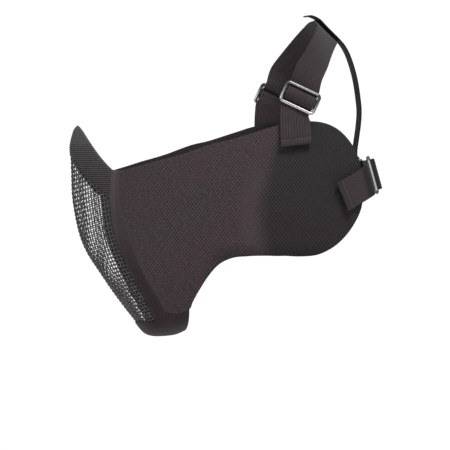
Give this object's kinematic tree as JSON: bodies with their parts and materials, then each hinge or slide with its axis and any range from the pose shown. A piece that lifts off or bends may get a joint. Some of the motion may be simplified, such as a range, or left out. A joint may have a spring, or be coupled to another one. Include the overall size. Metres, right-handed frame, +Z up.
{
  "type": "mesh face mask",
  "caption": "Half face mask with a ridged wire-mesh front, coarse woven cloth wings round the cheeks and a webbing harness with tri-glide buckles, shown as worn.",
  "frame": {"origin": "seat over the nose: on the middle plane, level with the top front corners of the cloth wings", "axes": "+X to the wearer's left, -Y the way the mask faces, +Z up to the crown strap"},
  "size_m": [0.174, 0.2473, 0.257],
  "materials": {
    "wire_mesh": "semi-gloss black",
    "ribbed_trim": "fine ribbed knit",
    "woven_cloth": "coarse woven",
    "smooth_cloth": "smooth binding",
    "webbing": "ribbed webbing",
    "buckle": "nickel plated"
  },
  "bodies": {
    "root": {"back_strap": "webbing", "chin_piece": "smooth_cloth", "crown_strap": "webbing", "edge_band_left": "smooth_cloth", "edge_band_right": "smooth_cloth", "lower_buckle_left": "buckle", "lower_buckle_right": "buckle", "lower_strap": "webbing", "lower_tab_left": "webbing", "lower_tab_right": "webbing", "mesh_panel": "wire_mesh", "nose_trim": "ribbed_trim", "side_panel_left": "woven_cloth", "side_panel_right": "woven_cloth", "upper_buckle_left": "buckle", "upper_buckle_right": "buckle", "upper_tab_left": "webbing", "upper_tab_right": "webbing"}
  },
  "joints": []
}
